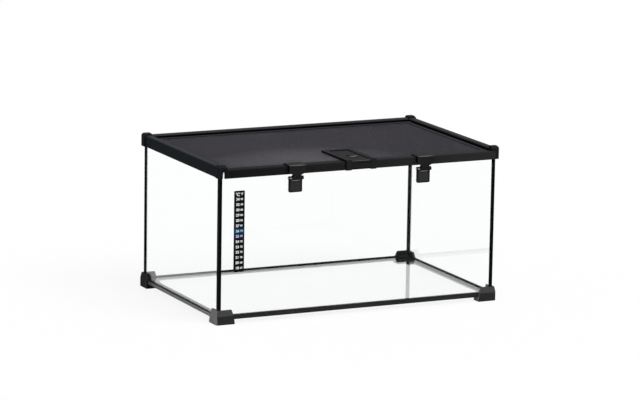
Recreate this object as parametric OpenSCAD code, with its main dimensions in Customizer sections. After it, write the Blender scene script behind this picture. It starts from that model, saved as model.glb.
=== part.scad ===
// Glass reptile terrarium: five panes in push-fit rails, with a hinged screen lid.
// Millimetres. X runs to the right, Y to the back and Z up; the feet stand on Z = 0.

/* [Overall] */
// Width over the feet
overall_w = 508; // [460:1:560]
// Depth over the feet
overall_d = 320; // [290:1:360]
// Height of the side and rear top rails above the floor
rail_top_z = 258; // [220:0.1:320]

/* [Glass] */
// Thickness of every pane
glass_t = 4; // [3.5:0.1:4.2]
// How far the glass faces lie inside the feet
glass_inset = 4.9; // [4.8:0.1:5.4]
// Width of the square strips that close the vertical corners
strip_w = 4.8; // [4.4:0.1:5]

/* [Feet] */
// Length of the arm of a corner foot that runs from side to side
foot_len_x = 32.5; // [27:0.5:36]
// Length of the arm that runs from front to back
foot_len_y = 30; // [25:0.5:36]
// Width of each arm under the tank
foot_arm = 18; // [14:0.5:20]
// Height of a foot
foot_h = 23.5; // [21:0.1:26]
// Height at which the walls of a foot begin to slope in
foot_knee_z = 14; // [13:0.1:18]

/* [Bottom rails] */
// Height of the underside of the bottom rails
floor_gap = 7.3; // [6:0.1:9]
// Height of the outer wall of a bottom rail
sill_h = 8.1; // [7.5:0.1:8.6]
// Width of the shelf that carries the base pane
shelf_w = 16; // [12:0.5:20]
// Thickness of that shelf
shelf_t = 2.3; // [2:0.1:2.6]

/* [Top rails] */
// Height of a top rail
top_rail_h = 18.7; // [18:0.1:20]
// Width of the upper part of a top rail
top_rail_w = 12; // [11.5:0.1:13]
// Depth of the slot that takes the top edge of a pane
pane_slot_h = 7.2; // [6.8:0.1:7.4]

/* [Corner blocks] */
// How far a top corner block stands proud of the rails
block_proud = 2.5; // [2:0.1:2.8]
// How far a top corner block rises above the rails
block_rise = 3.5; // [2:0.1:4]
// Chamfer round the top of a block
block_chamfer = 4; // [2.5:0.1:4.5]

/* [Lid] */
// Depth of the lid surface below the rails
lid_drop = 4.2; // [3.8:0.1:5]
// Thickness of the lid frame
lid_t = 6.6; // [6.4:0.1:6.8]
// Width of the side and rear bars of the lid
lid_bar_w = 12; // [11:0.5:16]
// Depth of the front bar, with its apron
front_bar_w = 20; // [18:0.5:26]
// Height of the apron that hangs in front of the glass
apron_h = 13.6; // [12:0.1:14.4]
// Thickness of the apron
apron_t = 3.5; // [3:0.1:3.6]
// Openings of the screen from side to side
mesh_cells_x = 24; // [8:1:24]
// Openings of the screen from front to back
mesh_cells_y = 12; // [6:1:12]

/* [Feeding port] */
// Clear width of the port
port_w = 31; // [26:0.5:34]
// Clear depth of the port
port_d = 62; // [50:0.5:70]
// Width of each strap beside the slider
strap_w = 9.7; // [8:0.1:12]
// Height of the straps above the lid
strap_h = 3.2; // [3:0.1:3.6]

/* [Latches] */
// Distance between the two latches
latch_pitch = 230.5; // [180:0.5:300]
// Width of a latch bracket
bracket_w = 30; // [29:0.5:34]
// Thickness of the plate of a bracket that lies on the lid
bracket_t = 2; // [1.8:0.1:2.6]
// Depth of a bracket from its face to the rear edge of that plate
bracket_d = 25; // [22:0.5:36]
// Width of a flip tab
tab_w = 23; // [21:0.5:25]
// Height of the plate of a flip tab
tab_h = 20; // [17:0.5:24]
// Thickness of that plate
tab_t = 4; // [3.6:0.1:4.4]
// Radius of the latch pins
latch_pin_r = 1.25; // [1:0.05:1.4]

/* [Thermometer] */
// Width of the stuck-on thermometer strip
thermo_w = 18.5; // [14:0.5:24]
// Height of that strip
thermo_h = 133; // [100:1:150]

/* [Hidden] */
$fn = 48;

BLACK = "#1b1c1e";
CLEAR = [0.80, 0.90, 0.88, 0.35];

// Half sizes of the foot box and of the glass box
half_w = overall_w / 2;
half_d = overall_d / 2;
glass_x = half_w - glass_inset;
glass_y = half_d - glass_inset;

// The rails stand outside the glass by the thickness of their outer wall
rail_wall = 2.2;
rail_x = glass_x + rail_wall;
rail_y = glass_y + rail_wall;

// Levels, from the floor up
shelf_z = floor_gap + shelf_t;
sill_z = floor_gap + sill_h;
rail_z = rail_top_z - top_rail_h;
slot_top_z = rail_z + pane_slot_h;
pane_top_z = slot_top_z - 0.2;
lid_z = rail_top_z - lid_drop;
lid_under_z = lid_z - lid_t;
block_top_z = rail_top_z + block_rise;

// Top rail: inner lip below, hollow chamber above, ledge under the lid
rail_body_w = rail_wall + glass_t + 1.6;
ledge_w = top_rail_w + 2.5;
ledge_top_z = lid_under_z - 0.3;
ledge_t = 2.3;
chamber_u = [2.6, 9.4];
chamber_z = [slot_top_z + 1.5, rail_top_z - 3];
slip = 0.15;

// Corner blocks
block_x = rail_x + block_proud;
block_y = rail_y + block_proud;
block_w = top_rail_w + block_proud;
front_block_d = 11.5;
block_step_x = 8.5;
block_step_z = lid_under_z + 2.3;
spigot_l = 15;

// Lid and its hinge: the rear edge is a half round about the pivot
lid_x = rail_x - top_rail_w - 0.7;
lid_rear_y = rail_y - top_rail_w - 4;
lid_front_y = -(half_d + 5);
edge_r = lid_t / 2;
pivot_y = lid_rear_y - edge_r;
pivot_z = lid_under_z + edge_r;
hinge_pin_r = 1.5;
running = 0.05;
pin_tip_x = lid_x + 8.2;
pin_root_x = lid_x - 14.3;
pocket_d = 3.6;
apron_x = block_x - block_step_x - 1.5;

// Screen: a sheet in a rebate, held down by a flat frame
rebate_w = 3.6;
rebate_d = 1.4;
mesh_t = 0.6;
mesh_wire = 1.2;
frame_inner_y0 = lid_front_y + front_bar_w;
frame_inner_y1 = lid_rear_y - lid_bar_w;
frame_inner_x = lid_x - lid_bar_w;

// The front fittings sit a little to the left of the middle
fittings_x = -3.6;
port_x = fittings_x;
slider_t = 1.5;
slide_gap = 0.3;
strap_in = port_w / 2 + 1.8;
slider_half = strap_in + 1;
port_y0 = frame_inner_y0 + 1.9;
port_y1 = port_y0 + port_d;
flange_x = strap_in + 6.7;
flange_y1 = port_y1 + 6;
strap_y1 = port_y1 + 8;
strap_front_y = lid_front_y - 3.2;

// Latches: the tab hangs behind the face of its bracket and in front of the glass
latch_reach = 11;
latch_front_y = -(half_d + latch_reach);
bracket_rear_y = latch_front_y + bracket_d;
latch_pivot_y = latch_front_y + 7.2;
latch_pivot_z = lid_z - 20.2;
neck_w = 14;
neck_r = 3;
tab_front_y = latch_pivot_y;
tab_top_z = latch_pivot_z - neck_r - 0.8;
tab_bottom_z = tab_top_z - tab_h;
ear_r = 3.2;
ear_x = tab_w / 2 + 1.3;
ear_gap = neck_w / 2 + 0.35;
nose_tip_y = -glass_y - 0.5;
latch_xs = [fittings_x - latch_pitch / 2, fittings_x + latch_pitch / 2];

// The model is centred on its own bounding box: the latches reach past the front feet
centre_y = latch_reach / 2;

// Helpers for shapes that repeat

module seated() {
    translate([0, centre_y, 0])
        children();
}

// Puts a front-left corner shape, drawn with its corner at the origin, at any corner
module at_corner(right, rear, x, y) {
    if (right)
        mirror([1, 0, 0])
            at_corner(false, rear, x, y)
                children();
    else if (rear)
        mirror([0, 1, 0])
            at_corner(false, false, x, y)
                children();
    else
        translate([-x, -y, 0])
            children();
}

// Sweeps a profile along X: profile x is the distance inward, profile y the height
module along_x(x0, x1) {
    translate([x0, 0, 0])
        rotate([90, 0, 90])
            linear_extrude(x1 - x0)
                children();
}

// A bar along the front, cut at 45 degrees at both ends
module mitred_bar(half_length, width, height) {
    intersection() {
        along_x(-half_length, half_length)
            children();
        linear_extrude(height)
            polygon([
                [-half_length, 0], [half_length, 0],
                [half_length - width, width], [-half_length + width, width]
            ]);
    }
}

// Turns a front bar into the rear, left or right one
module on_side(side) {
    if (side == "front")
        translate([0, -rail_y, 0])
            children();
    else if (side == "rear")
        translate([0, rail_y, 0])
            rotate([0, 0, 180])
                children();
    else if (side == "left")
        translate([-rail_x, 0, 0])
            rotate([0, 0, -90])
                children();
    else
        translate([rail_x, 0, 0])
            rotate([0, 0, 90])
                children();
}

// Rectangle with a true round at the origin corner
module one_round_rect(lx, ly, r) {
    translate([r, 0])
        square([lx - r, ly]);
    translate([0, r])
        square([r, ly - r]);
    translate([r, r])
        circle(r);
}

// Rectangle from p to q with four true rounds
module round_rect(p, q, r) {
    translate([p[0] + r, p[1]])
        square([q[0] - p[0] - 2 * r, q[1] - p[1]]);
    translate([p[0], p[1] + r])
        square([q[0] - p[0], q[1] - p[1] - 2 * r]);
    for (x = [p[0] + r, q[0] - r], y = [p[1] + r, q[1] - r])
        translate([x, y])
            circle(r);
}

// Cylinder along X between two planes
module x_rod(x0, x1, y, z, r) {
    translate([x0, y, z])
        rotate([0, 90, 0])
            cylinder(r = r, h = x1 - x0);
}

// Glass

module pane(p, q) {
    color(CLEAR)
        translate(p)
            cube(q - p);
}

module base_glass() {
    x = glass_x - glass_t - 0.2;
    y = glass_y - glass_t - 0.2;
    pane([-x, -y, shelf_z], [x, y, shelf_z + glass_t]);
}

module front_glass() {
    x = glass_x - strip_w;
    pane([-x, -glass_y, shelf_z], [x, -glass_y + glass_t, pane_top_z]);
}

module rear_glass() {
    x = glass_x - strip_w;
    pane([-x, glass_y - glass_t, shelf_z], [x, glass_y, pane_top_z]);
}

module left_glass() {
    y = glass_y - strip_w;
    pane([-glass_x, -y, shelf_z], [-glass_x + glass_t, y, pane_top_z]);
}

module right_glass() {
    y = glass_y - strip_w;
    pane([glass_x - glass_t, -y, shelf_z], [glass_x, y, pane_top_z]);
}

// Corner strips: square bars, rounded outside and hollowed to grip the pane edges

module corner_strip(right, rear) {
    color(BLACK)
        at_corner(right, rear, glass_x, glass_y)
            translate([0, 0, shelf_z])
                linear_extrude(pane_top_z - shelf_z)
                    difference() {
                        one_round_rect(strip_w, strip_w, 1.2);
                        translate([strip_w, strip_w])
                            circle(strip_w - glass_t + 0.2);
                    }
}

// Bottom rails: an outer wall with a bead along its top, and a shelf under the glass

module sill_profile() {
    face = 0.5;
    bead = 1.8;
    polygon([
        [face + 0.8, floor_gap], [face, floor_gap + 0.8],
        [face, sill_z - bead], [0, sill_z - bead + 0.3],
        [0, sill_z - 0.5], [0.5, sill_z],
        [rail_wall, sill_z], [rail_wall, shelf_z],
        [rail_wall + shelf_w - 0.6, shelf_z], [rail_wall + shelf_w, shelf_z - 0.6],
        [rail_wall + shelf_w, floor_gap]
    ]);
}

module bottom_rail(side, half_length) {
    color(BLACK)
        on_side(side)
            mitred_bar(half_length, rail_wall + shelf_w, sill_z + 1)
                sill_profile();
}

// Corner feet: walls that slope in above the knee, an L-shaped pad below the rails

module foot_profile(arm) {
    flare = 1.8;
    slope = 5;
    polygon([
        [0, 0], [arm, 0], [arm - flare, foot_knee_z], [arm - slope, foot_h],
        [2.4, foot_h], [0.6, foot_knee_z]
    ]);
}

module corner_foot(right, rear) {
    wall = half_w - rail_x;
    rim = 3;
    color(BLACK)
        at_corner(right, rear, half_w, half_d)
            difference() {
                intersection() {
                    linear_extrude(foot_h)
                        one_round_rect(foot_len_x, foot_len_y, 3);
                    along_x(0, foot_len_x)
                        foot_profile(foot_len_y);
                    translate([0, foot_len_y, 0])
                        rotate([90, 0, 0])
                            linear_extrude(foot_len_y)
                                foot_profile(foot_len_x);
                }
                translate([foot_arm, foot_arm, -1])
                    cube([foot_len_x, foot_len_y, foot_h]);
                translate([wall, wall, floor_gap])
                    cube([foot_len_x, foot_len_y, sill_h]);
                translate([glass_inset, glass_inset, sill_z - 0.01])
                    cube([foot_len_x, foot_len_y, foot_h]);
                // Hollow underside with a rim, as in a moulded part
                translate([rim, rim, -1])
                    linear_extrude(4)
                        difference() {
                            square([foot_len_x - 2 * rim, foot_len_y - 2 * rim]);
                            translate([foot_arm - 2 * rim, foot_arm - 2 * rim])
                                square([foot_len_x, foot_len_y]);
                        }
            }
}

// Top rails: hollow extrusions with a slot for the pane and a ledge under the lid

module top_rail_profile() {
    difference() {
        polygon([
            [0, rail_z + 0.6], [0, rail_top_z - 1.2], [1.2, rail_top_z],
            [top_rail_w - 1.2, rail_top_z], [top_rail_w, rail_top_z - 1.5],
            [top_rail_w, ledge_top_z], [rail_body_w, ledge_top_z - 1],
            [rail_body_w, rail_z], [0.6, rail_z]
        ]);
        translate([rail_wall, rail_z - 1])
            square([glass_t, pane_slot_h + 1]);
        translate([chamber_u[0], chamber_z[0]])
            square([chamber_u[1] - chamber_u[0], chamber_z[1] - chamber_z[0]]);
    }
}

module ledge_profile() {
    polygon([
        [rail_body_w - 0.5, ledge_top_z - ledge_t], [ledge_w - 0.8, ledge_top_z - ledge_t],
        [ledge_w, ledge_top_z - ledge_t + 0.8], [ledge_w, ledge_top_z],
        [rail_body_w - 0.5, ledge_top_z]
    ]);
}

// A side rail runs from the front block to the rear one; its ledge stops short of the front
module side_top_rail(side) {
    front_end = block_y - front_block_d;
    rear_end = block_y - block_w;
    ledge_front = front_end - 7;
    flip = side == "left" ? 1 : -1;
    color(BLACK)
        difference() {
            on_side(side)
                union() {
                    along_x(flip > 0 ? -rear_end : -front_end, flip > 0 ? front_end : rear_end)
                        top_rail_profile();
                    along_x(flip > 0 ? -rear_end + 3 : -ledge_front, flip > 0 ? ledge_front : rear_end - 3)
                        ledge_profile();
                }
            for (s = [-1, 1])
                x_rod(s > 0 ? lid_x : -pin_tip_x - 1, s > 0 ? pin_tip_x + 1 : -lid_x,
                    pivot_y, pivot_z, hinge_pin_r + running);
        }
}

module left_top_rail() {
    side_top_rail("left");
}

module right_top_rail() {
    side_top_rail("right");
}

module rear_top_rail() {
    half = block_x - block_w;
    color(BLACK)
        on_side("rear") {
            along_x(-half, half)
                top_rail_profile();
            along_x(-half + 3, half - 3)
                ledge_profile();
        }
}

// Top corner blocks: chamfered caps with spigots that plug into the rails

module block_profile(depth, inner) {
    polygon([
        [0, rail_z + 1], [0, block_top_z - block_chamfer],
        [block_chamfer * 0.8, block_top_z], [depth - inner, block_top_z],
        [depth, block_top_z - inner], [depth, rail_z], [1, rail_z]
    ]);
}

module spigot(l) {
    u = [chamber_u[0] + block_proud + slip, chamber_u[1] + block_proud - slip];
    z = [chamber_z[0] + slip, chamber_z[1] - slip];
    translate([u[0], 0, z[0]])
        cube([u[1] - u[0], l, z[1] - z[0]]);
}

module block_body(depth) {
    inner_chamfer = 1.4;
    intersection() {
        linear_extrude(block_top_z)
            one_round_rect(block_w, block_w, 3);
        along_x(0, block_w)
            block_profile(depth, inner_chamfer);
        translate([0, block_w, 0])
            rotate([90, 0, 0])
                linear_extrude(block_w)
                    block_profile(block_w, inner_chamfer);
    }
}

// Room for the two panes and the strip that meet under a block
module pane_corner_room() {
    inset = rail_wall + block_proud;
    translate([inset, inset, rail_z - 1]) {
        cube([glass_t, block_w, pane_slot_h + 1]);
        cube([block_w, glass_t, pane_slot_h + 1]);
        cube([strip_w, strip_w, pane_slot_h + 1]);
    }
}

module front_top_corner(right) {
    color(BLACK)
        at_corner(right, false, block_x, block_y)
            difference() {
                union() {
                    block_body(front_block_d);
                    translate([0, front_block_d - 1, 0])
                        spigot(spigot_l);
                }
                pane_corner_room();
                translate([block_step_x, -1, rail_z - 1])
                    cube([block_w, block_w, block_step_z - rail_z + 1]);
            }
}

module rear_top_corner(right) {
    color(BLACK)
        difference() {
            at_corner(right, true, block_x, block_y)
                difference() {
                    union() {
                        block_body(block_w);
                        translate([0, block_w - 1, 0])
                            spigot(spigot_l);
                        mirror([1, -1, 0])
                            translate([0, block_w - 1, 0])
                                spigot(spigot_l);
                    }
                    pane_corner_room();
                }
            x_rod(right ? lid_x : -pin_tip_x - 0.3, right ? pin_tip_x + 0.3 : -lid_x,
                pivot_y, pivot_z, hinge_pin_r + running);
        }
}

// Thermometer strip on the outside of the front pane

module thermometer_strip() {
    from_edge = 25.8;
    x0 = -glass_x + from_edge;
    z0 = 84.5;
    color("#101112")
        translate([0, -glass_y, 0])
            rotate([90, 0, 0])
                linear_extrude(0.6)
                    round_rect([x0, z0], [x0 + thermo_w, z0 + thermo_h], 1.5);
}

// Lid frame

// Ribbed hollows in the underside of a lid bar, between two planes across it
module underside_pockets(half_length, y0, y1) {
    cells = 12;
    rib = 1.6;
    step = (2 * half_length + rib) / cells;
    for (i = [0 : cells - 1])
        translate([-half_length + i * step, y0, lid_under_z - 1])
            cube([step - rib, y1 - y0, pocket_d + 1]);
}

// Rebate in the inner edge of a lid bar, where the screen and its retainer lie
module bar_rebate(width) {
    translate([width - rebate_w, lid_z - rebate_d])
        square([rebate_w + 1, rebate_d + 1]);
}

module side_bar_profile() {
    step_w = 3.3;
    step_d = 3.4;
    difference() {
        polygon([
            [0, lid_under_z], [0, lid_z - step_d], [step_w, lid_z - step_d],
            [step_w, lid_z - 0.5], [step_w + 0.5, lid_z], [lid_bar_w, lid_z],
            [lid_bar_w, lid_under_z]
        ]);
        bar_rebate(lid_bar_w);
        // Channel along the underside
        translate([2.2, lid_under_z - 1])
            square([lid_bar_w - 4.4, 3.2]);
    }
}

module lid_side_bar(side) {
    color(BLACK)
        mirror([side == "left" ? 0 : 1, 0, 0])
            translate([-lid_x, 0, 0])
                rotate([0, 0, -90])
                    along_x(-frame_inner_y1, -frame_inner_y0)
                        side_bar_profile();
}

module lid_left_bar() {
    lid_side_bar("left");
}

module lid_right_bar() {
    lid_side_bar("right");
}

module rear_bar_profile() {
    difference() {
        union() {
            translate([edge_r, pivot_z])
                circle(edge_r);
            translate([edge_r, lid_under_z])
                square([lid_bar_w - edge_r, lid_t]);
        }
        bar_rebate(lid_bar_w);
    }
}

// The side bars' rebates run on into the ends of the front and rear bars
module screen_room() {
    x = frame_inner_x + rebate_w;
    y0 = frame_inner_y0 - rebate_w;
    y1 = frame_inner_y1 + rebate_w;
    translate([-x, y0, lid_z - rebate_d])
        cube([2 * x, y1 - y0, rebate_d + 1]);
}

module lid_rear_bar() {
    color(BLACK)
        difference() {
            translate([0, lid_rear_y, 0])
                rotate([0, 0, 180])
                    along_x(-lid_x, lid_x)
                        rear_bar_profile();
            screen_room();
            underside_pockets(pin_root_x - 3, frame_inner_y1 + 2, pivot_y - 1);
            for (s = [-1, 1])
                x_rod(s > 0 ? pin_root_x : -lid_x - 1, s > 0 ? lid_x + 1 : -pin_root_x,
                    pivot_y, pivot_z, hinge_pin_r);
        }
}

// The front bar turns down into the apron
module front_bar_profile() {
    polygon([
        [apron_t, lid_under_z], [apron_t, lid_z], [front_bar_w, lid_z],
        [front_bar_w, lid_under_z]
    ]);
}

module apron() {
    r = 2;
    intersection() {
        along_x(-apron_x, apron_x) {
            translate([r, lid_z - r])
                circle(r);
            polygon([
                [0, lid_z - apron_h + 0.6], [0, lid_z - r], [r, lid_z],
                [apron_t, lid_z], [apron_t, lid_z - apron_h], [0.6, lid_z - apron_h]
            ]);
        }
        translate([0, apron_t + 1, 0])
            rotate([90, 0, 0])
                linear_extrude(apron_t + 2)
                    round_rect([-apron_x, lid_z - apron_h - 5], [apron_x, lid_z], 3);
    }
}

module lid_front_bar() {
    step_w = 3.3;
    step_d = 3.4;
    color(BLACK)
        difference() {
            translate([0, lid_front_y, 0]) {
                along_x(-lid_x, lid_x)
                    front_bar_profile();
                apron();
            }
            screen_room();
            underside_pockets(lid_x - 6, lid_front_y + apron_t + 2, frame_inner_y0 - 2);
            for (s = [-1, 1])
                translate([s > 0 ? lid_x - step_w : -lid_x - 1, lid_front_y + 5, lid_z - step_d])
                    cube([step_w + 1, front_bar_w, step_d + 1]);
        }
}

// Screen: a sheet with square openings, cut out round the port

module port_clearance() {
    g = 0.2;
    translate([port_x - flange_x - g, frame_inner_y0 - 8, lid_under_z - 2])
        cube([2 * (flange_x + g), flange_y1 + g - frame_inner_y0 + 8, lid_t + 4]);
}

module screen_mesh() {
    x = frame_inner_x + rebate_w - 0.3;
    y0 = frame_inner_y0 - rebate_w + 0.3;
    y1 = frame_inner_y1 + rebate_w - 0.3;
    cell_x = 2 * frame_inner_x / mesh_cells_x;
    cell_y = (frame_inner_y1 - frame_inner_y0) / mesh_cells_y;
    color("#3c3c40")
        difference() {
            translate([0, 0, lid_z - rebate_d])
                linear_extrude(mesh_t)
                    difference() {
                        translate([-x, y0])
                            square([2 * x, y1 - y0]);
                        for (i = [0 : mesh_cells_x - 1], j = [0 : mesh_cells_y - 1])
                            translate([
                                -frame_inner_x + i * cell_x + mesh_wire / 2,
                                frame_inner_y0 + j * cell_y + mesh_wire / 2
                            ])
                                square([cell_x - mesh_wire, cell_y - mesh_wire]);
                    }
            port_clearance();
        }
}

// Five strips lie in the rebate and hold the screen down; the port takes the sixth place
module screen_retainer() {
    x = frame_inner_x + rebate_w - 0.2;
    y0 = frame_inner_y0 - rebate_w + 0.2;
    y1 = frame_inner_y1 + rebate_w - 0.2;
    w = rebate_w - 0.4;
    h = rebate_d - mesh_t;
    butt = 0.2;
    port_half = flange_x + 0.2;
    color(BLACK)
        translate([0, 0, lid_z - h]) {
            for (s = [-1, 1])
                translate([s > 0 ? x - w : -x, y0 + w + butt, 0])
                    cube([w, y1 - y0 - 2 * (w + butt), h]);
            translate([-x, y1 - w, 0])
                cube([2 * x, w, h]);
            translate([-x, y0, 0])
                cube([port_x - port_half + x, w, h]);
            translate([port_x + port_half, y0, 0])
                cube([x - port_x - port_half, w, h]);
        }
}

module hinge_pins() {
    color("silver")
        for (s = [-1, 1])
            x_rod(s > 0 ? pin_root_x : -pin_tip_x, s > 0 ? pin_tip_x : -pin_root_x,
                pivot_y, pivot_z, hinge_pin_r);
}

// Feeding port: two straps over the front edge, a cross bar, and a collar through the screen

module strap_profile() {
    r = 2;
    tip_z = lid_z - apron_h - 0.4;
    top_z = lid_z + strap_h;
    translate([strap_front_y + r, top_z - r])
        circle(r);
    polygon([
        [strap_front_y, tip_z + 0.8], [strap_front_y, top_z - r],
        [strap_front_y + r, top_z], [strap_y1 - 1, top_z],
        [strap_y1, top_z - 1], [strap_y1, lid_z],
        [lid_front_y - 0.05, lid_z], [lid_front_y - 0.05, tip_z],
        [strap_front_y + 0.8, tip_z]
    ]);
}

module port_frame() {
    groove_top = lid_z + slide_gap + slider_t + slide_gap;
    outer = strap_in + strap_w;
    color(BLACK)
        translate([port_x, 0, 0])
            difference() {
                union() {
                    for (s = [-1, 1])
                        along_x(s > 0 ? strap_in : -outer, s > 0 ? outer : -strap_in)
                            strap_profile();
                    translate([-outer, port_y1 + 2, lid_z])
                        cube([2 * outer, strap_y1 - port_y1 - 2, strap_h]);
                    translate([-flange_x, frame_inner_y0 - rebate_w + 0.1, lid_z - rebate_d])
                        cube([2 * flange_x, flange_y1 - frame_inner_y0 + rebate_w - 0.1, rebate_d]);
                    translate([-strap_in, frame_inner_y0 + 0.1, lid_under_z])
                        cube([2 * strap_in, port_y1 + 1.8 - frame_inner_y0 - 0.1, lid_t]);
                }
                translate([-port_w / 2, port_y0, lid_under_z - 1])
                    cube([port_w, port_d, lid_t + 2]);
                // Room for the slider between the straps and under their lips
                translate([-slider_half - slide_gap, strap_front_y - 1, lid_z])
                    cube([2 * (slider_half + slide_gap), port_y1 + 3 - strap_front_y, groove_top - lid_z]);
            }
}

// Slider: a plate under the lips, a grooved pull lip over the apron, and a thumb recess with a ridge
module port_slider() {
    z0 = lid_z + slide_gap;
    lip_half = strap_in - 0.4;
    rear_y = port_y1 + 1.6;
    ridge_y = lid_front_y + 29;
    face_y = lid_front_y - 3;
    groove_z = lid_z - 2.1;
    color(BLACK)
        translate([port_x, 0, 0])
            difference() {
                union() {
                    translate([-slider_half, lid_front_y + 1, z0])
                        cube([2 * slider_half, rear_y - lid_front_y - 1, slider_t]);
                    along_x(-lip_half, lip_half)
                        polygon([
                            [face_y, lid_z - 10.4], [face_y, groove_z - 0.9],
                            [face_y + 0.6, groove_z - 0.5], [face_y + 0.6, groove_z + 0.3],
                            [face_y, groove_z + 0.6], [face_y, z0 + slider_t - 1],
                            [face_y + 1, z0 + slider_t], [lid_front_y + 2, z0 + slider_t],
                            [lid_front_y + 2, z0], [lid_front_y - 0.4, z0],
                            [lid_front_y - 0.4, lid_z - 11], [face_y + 0.6, lid_z - 11]
                        ]);
                    along_x(-9, 9)
                        translate([ridge_y, z0 + slider_t])
                            polygon([[-1.8, -0.5], [-1.2, 1.3], [0.9, 1.3], [2.4, -0.5]]);
                }
                translate([0, 0, z0 + slider_t - 0.9])
                    linear_extrude(2)
                        round_rect([-9, ridge_y + 4], [9, ridge_y + 14], 2);
            }
}

// Latches: a bracket over the front edge, a steel pin and a flip tab

module bracket_plan() {
    b = bracket_w / 2;
    y = bracket_rear_y;
    polygon([
        [-b, latch_front_y - 1], [b, latch_front_y - 1], [b, y - 2], [b - 2, y],
        [-b + 2, y], [-b, y - 2]
    ]);
}

// Front view of a bracket: full width over the apron, then a neck down to the pin
module bracket_face() {
    b = bracket_w / 2;
    n = neck_w / 2;
    apron_bottom = lid_z - apron_h;
    polygon([
        [-b, block_top_z], [-b, apron_bottom + 4.5], [-b + 3.5, apron_bottom + 1.5],
        [-n, apron_bottom - 0.6], [-n, latch_pivot_z - neck_r - 1],
        [n, latch_pivot_z - neck_r - 1], [n, apron_bottom - 0.6],
        [b - 3.5, apron_bottom + 1.5], [b, apron_bottom + 4.5], [b, block_top_z]
    ]);
}

// What a quarter round of radius r takes off the top front corner at p
module corner_cut(p, r) {
    translate(p)
        difference() {
            translate([-1, -r])
                square([r + 1, r + 1]);
            translate([r, -r])
                circle(r);
        }
}

// Side view of a bracket: plate, rounded nose, front wall, and a neck that leans in to the pin
module bracket_side() {
    top_z = lid_z + bracket_t;
    apron_bottom = lid_z - apron_h;
    difference() {
        polygon([
            [latch_front_y, apron_bottom], [latch_front_y, top_z], [bracket_rear_y - 1, top_z],
            [bracket_rear_y, top_z - 1], [bracket_rear_y, lid_z],
            [lid_front_y - 0.05, lid_z], [lid_front_y - 0.05, apron_bottom - 0.8],
            [latch_pivot_y + 2, latch_pivot_z + 2], [latch_pivot_y, latch_pivot_z],
            [latch_pivot_y - neck_r, latch_pivot_z], [latch_front_y + 1, apron_bottom - 2.2]
        ]);
        corner_cut([latch_front_y, top_z], 1.8);
    }
}

module latch_bracket(x) {
    n = neck_w / 2;
    color(BLACK)
        translate([x, 0, 0])
            difference() {
                union() {
                    intersection() {
                        along_x(-bracket_w / 2, bracket_w / 2)
                            bracket_side();
                        linear_extrude(block_top_z)
                            bracket_plan();
                        translate([0, lid_front_y + 40, 0])
                            rotate([90, 0, 0])
                                linear_extrude(60)
                                    bracket_face();
                    }
                    x_rod(-n, n, latch_pivot_y, latch_pivot_z, neck_r);
                }
                x_rod(-bracket_w, bracket_w, latch_pivot_y, latch_pivot_z, latch_pin_r);
            }
}

module latch_pins() {
    color("silver")
        for (x = latch_xs)
            x_rod(x - ear_x - 0.5, x + ear_x + 0.5, latch_pivot_y, latch_pivot_z, latch_pin_r);
}

// Side view of a tab's plate, with the cheeks that rise from it to the pin
module tab_side() {
    f = tab_front_y;
    polygon([
        [f, tab_bottom_z + 1], [f, tab_top_z], [f - 2.6, latch_pivot_z - 1.6],
        [latch_pivot_y, latch_pivot_z], [latch_pivot_y + 2.8, latch_pivot_z - 1.6],
        [f + tab_t, tab_top_z - 1], [f + tab_t, tab_bottom_z + 1.4],
        [f + tab_t - 1.4, tab_bottom_z], [f + 1, tab_bottom_z]
    ]);
    translate([latch_pivot_y, latch_pivot_z])
        circle(ear_r);
}

module latch_tab(x) {
    f = tab_front_y;
    h = tab_w / 2;
    wall = 1.8;
    color(BLACK)
        translate([x, 0, 0])
            difference() {
                union() {
                    difference() {
                        intersection() {
                            along_x(-h, h)
                                tab_side();
                            rotate([90, 0, 0])
                                linear_extrude(half_d * 2)
                                    round_rect([-h, tab_bottom_z], [h, latch_pivot_z + ear_r + 1], 2.6);
                        }
                        translate([-h + wall, f + 2.2, tab_bottom_z + wall])
                            cube([tab_w - 2 * wall, tab_t, tab_h - 2 * wall]);
                    }
                    for (s = [-1, 1])
                        x_rod(s > 0 ? ear_gap : -ear_x, s > 0 ? ear_x : -ear_gap,
                            latch_pivot_y, latch_pivot_z, ear_r);
                    // Nose that bears on the glass below the lid
                    along_x(-5, 5)
                        polygon([
                            [f + 1, tab_top_z - 1], [nose_tip_y - 1, tab_top_z - 1],
                            [nose_tip_y, tab_top_z - 2], [nose_tip_y, tab_top_z - 5],
                            [nose_tip_y - 1.5, tab_top_z - 6.5], [f + 2, tab_top_z - 10]
                        ]);
                }
                // Gap between the cheeks for the bracket's neck
                translate([-ear_gap, f - tab_h, tab_top_z])
                    cube([2 * ear_gap, 2 * tab_h, tab_h]);
                // Shallow panel in the face
                translate([0, f + 0.6, 0])
                    rotate([90, 0, 0])
                        linear_extrude(2)
                            round_rect([-h + 2.2, tab_bottom_z + 2.2], [h - 2.2, tab_top_z - 1.2], 1.4);
                x_rod(-ear_x - 1, ear_x + 1, latch_pivot_y, latch_pivot_z, latch_pin_r + running);
            }
}

seated() base_glass();
seated() front_glass();
seated() rear_glass();
seated() left_glass();
seated() right_glass();
seated() corner_strip(false, false);  // front_left_corner_strip
seated() corner_strip(true, false);  // front_right_corner_strip
seated() corner_strip(false, true);  // rear_left_corner_strip
seated() corner_strip(true, true);  // rear_right_corner_strip
seated() bottom_rail("front", rail_x);  // front_bottom_rail
seated() bottom_rail("rear", rail_x);  // rear_bottom_rail
seated() bottom_rail("left", rail_y);  // left_bottom_rail
seated() bottom_rail("right", rail_y);  // right_bottom_rail
seated() corner_foot(false, false);  // front_left_foot
seated() corner_foot(true, false);  // front_right_foot
seated() corner_foot(false, true);  // rear_left_foot
seated() corner_foot(true, true);  // rear_right_foot
seated() left_top_rail();
seated() right_top_rail();
seated() rear_top_rail();
seated() front_top_corner(false);  // front_left_top_corner
seated() front_top_corner(true);  // front_right_top_corner
seated() rear_top_corner(false);  // rear_left_top_corner
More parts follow.
